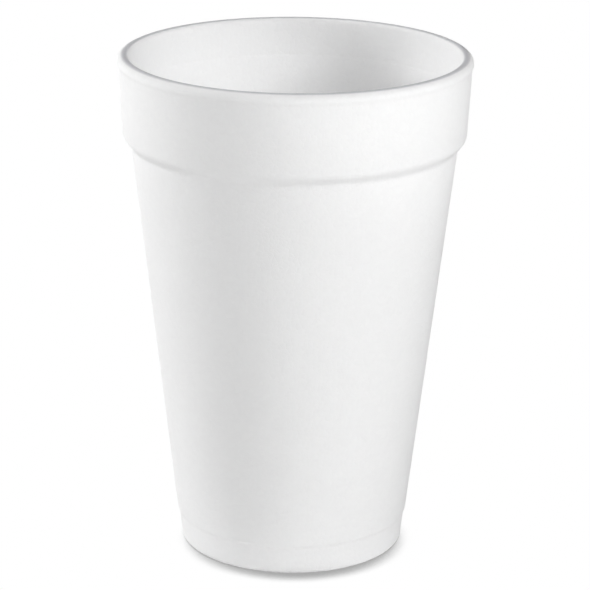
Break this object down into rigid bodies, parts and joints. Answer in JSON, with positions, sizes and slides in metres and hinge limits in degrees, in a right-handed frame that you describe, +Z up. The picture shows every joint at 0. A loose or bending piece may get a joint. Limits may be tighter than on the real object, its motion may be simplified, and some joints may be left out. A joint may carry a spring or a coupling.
{
  "type": "foam cup",
  "caption": "Tall open foam drinking cup with a tapered body, a thicker collar, a rolled lip and a recessed foot.",
  "frame": {"origin": "centre of the foot, on the surface that the cup stands on", "axes": "+Z up along the cup's axis, towards its mouth; the cup is round, so X and Y are free"},
  "size_m": [0.094, 0.094, 0.136],
  "materials": {
    "foam": "satin"
  },
  "bodies": {
    "root": {"cup": "foam"}
  },
  "joints": []
}
